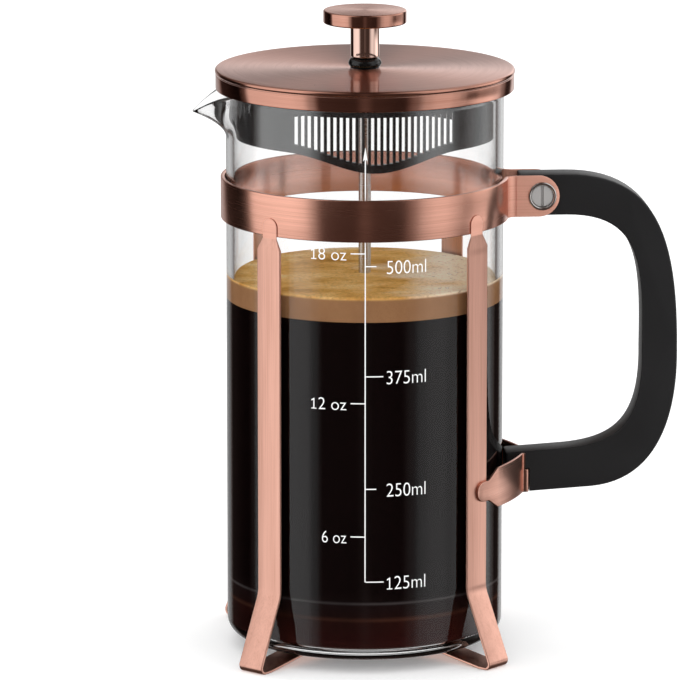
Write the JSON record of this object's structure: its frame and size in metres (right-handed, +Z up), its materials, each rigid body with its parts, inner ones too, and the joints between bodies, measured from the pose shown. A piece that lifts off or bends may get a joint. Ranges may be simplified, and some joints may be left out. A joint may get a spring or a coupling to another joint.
{
  "type": "french press",
  "caption": "Glass coffee press in a copper-finish strip frame with a black loop handle, turning strainer lid and plunger with mesh filter.",
  "frame": {"origin": "where the beaker's axis meets the table that the feet stand on", "axes": "+Z up along the beaker's axis and the plunger rod, +X towards the handle, -X towards the spout"},
  "size_m": [0.1422, 0.0872, 0.1883],
  "materials": {
    "copper_band": "copper plated, brushed along the band",
    "copper_strip": "copper plated, brushed along the strip",
    "copper_lid": "copper plated, brushed in circles on top and along the rim",
    "copper_knob": "copper plated, brushed in circles",
    "copper_polished": "copper plated, polished",
    "handle_black": "satin moulded, edges rounded",
    "strainer_black": "smooth moulded",
    "grommet_black": "smooth moulded",
    "beaker_glass": "clear heat-resistant glass",
    "rivet_steel": "plain",
    "screw_steel": "turned, matt",
    "cup_steel": "polished",
    "rod_steel": "polished",
    "plate_steel": "stamped, bright",
    "coil_steel": "drawn wire",
    "mesh_steel": "fine woven wire"
  },
  "bodies": {
    "frame": {"ring_band": "copper_band", "leg_strip_a": "copper_strip", "leg_strip_b": "copper_strip", "strip_rivet": "rivet_steel", "handle_yoke": "copper_strip", "handle": "handle_black", "screw_cups": "cup_steel", "handle_screw": "screw_steel", "barrel_nut": "screw_steel"},
    "carafe": {"glass_beaker": "beaker_glass"},
    "lid_hub": {"lid_grommet": "grommet_black", "grommet_retainer": "grommet_black"},
    "lid": {"lid_cap": "copper_lid", "lid_strainer": "strainer_black"},
    "plunger": {"knob_disc": "copper_knob", "knob_stem": "copper_polished", "plunger_rod": "rod_steel", "rod_collar": "rod_steel", "spring_plate": "plate_steel", "rim_coil": "coil_steel", "mesh_screen_upper": "mesh_steel", "mesh_screen_lower": "mesh_steel", "cross_plate": "plate_steel", "hub_nut": "plate_steel"}
  },
  "joints": [
    {"name": "carafe_lift", "type": "slide", "parent": "frame", "child": "carafe", "axis": [0, 0, 1], "range_m": [0, 0.14]},
    {"name": "lid_lift", "type": "slide", "parent": "carafe", "child": "lid_hub", "axis": [0, 0, 1], "range_m": [0, 0.16]},
    {"name": "lid_turn", "type": "hinge", "parent": "lid_hub", "child": "lid", "pos_m": [0, 0, 0.1713], "axis": [0, 0, 1], "continuous": true},
    {"name": "plunger_slide", "type": "slide", "parent": "lid_hub", "child": "plunger", "axis": [0, 0, 1], "range_m": [0, 0.124]}
  ]
}
